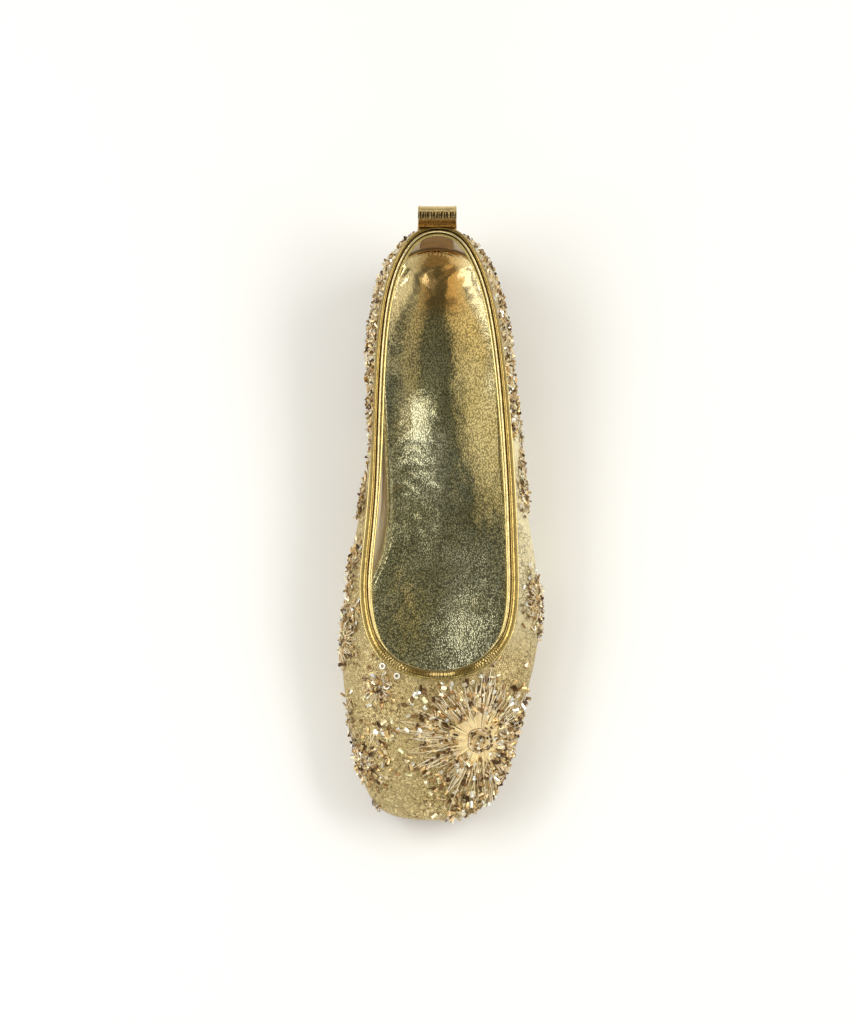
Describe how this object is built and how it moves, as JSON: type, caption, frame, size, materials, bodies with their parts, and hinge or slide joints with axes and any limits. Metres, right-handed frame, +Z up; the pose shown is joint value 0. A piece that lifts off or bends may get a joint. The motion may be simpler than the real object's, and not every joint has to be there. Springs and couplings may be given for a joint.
{
  "type": "flat shoe",
  "caption": "Ballet flat for the left foot: hollow embroidered cloth upper with a bound oval opening, padded insole, heel pull loop and a thin sole with a low heel.",
  "frame": {"origin": "centre of the shoe's box at the floor, under the arch", "axes": "+Z up from the floor, -Y to the toe, +Y to the heel, +X to the outer side of the left foot"},
  "size_m": [0.0844, 0.2466, 0.0646],
  "materials": {
    "sole_leather": "plain smooth tan",
    "gold_cloth": "fine gold net over crackled metallic backing",
    "gold_foil_leather": "glossy pebbled metallic gold",
    "gold_binding": "glossy rolled metallic gold",
    "brown_tape": "matte brown",
    "gold_thread": "beads, sequins and thread in gold and brown"
  },
  "bodies": {
    "root": {"outsole": "sole_leather", "upper": "gold_cloth", "insole": "gold_foil_leather", "topline_binding": "gold_binding", "pull_loop": "gold_binding", "heel_tape": "brown_tape", "flower_vamp": "gold_thread", "flower_medial_vamp": "gold_thread", "flower_medial_toe": "gold_thread", "flower_medial_ball": "gold_thread", "flower_medial_waist": "gold_thread", "flower_medial_heel": "gold_thread", "flower_lateral_heel": "gold_thread", "flower_lateral_waist": "gold_thread", "flower_lateral_ball": "gold_thread"}
  },
  "joints": []
}
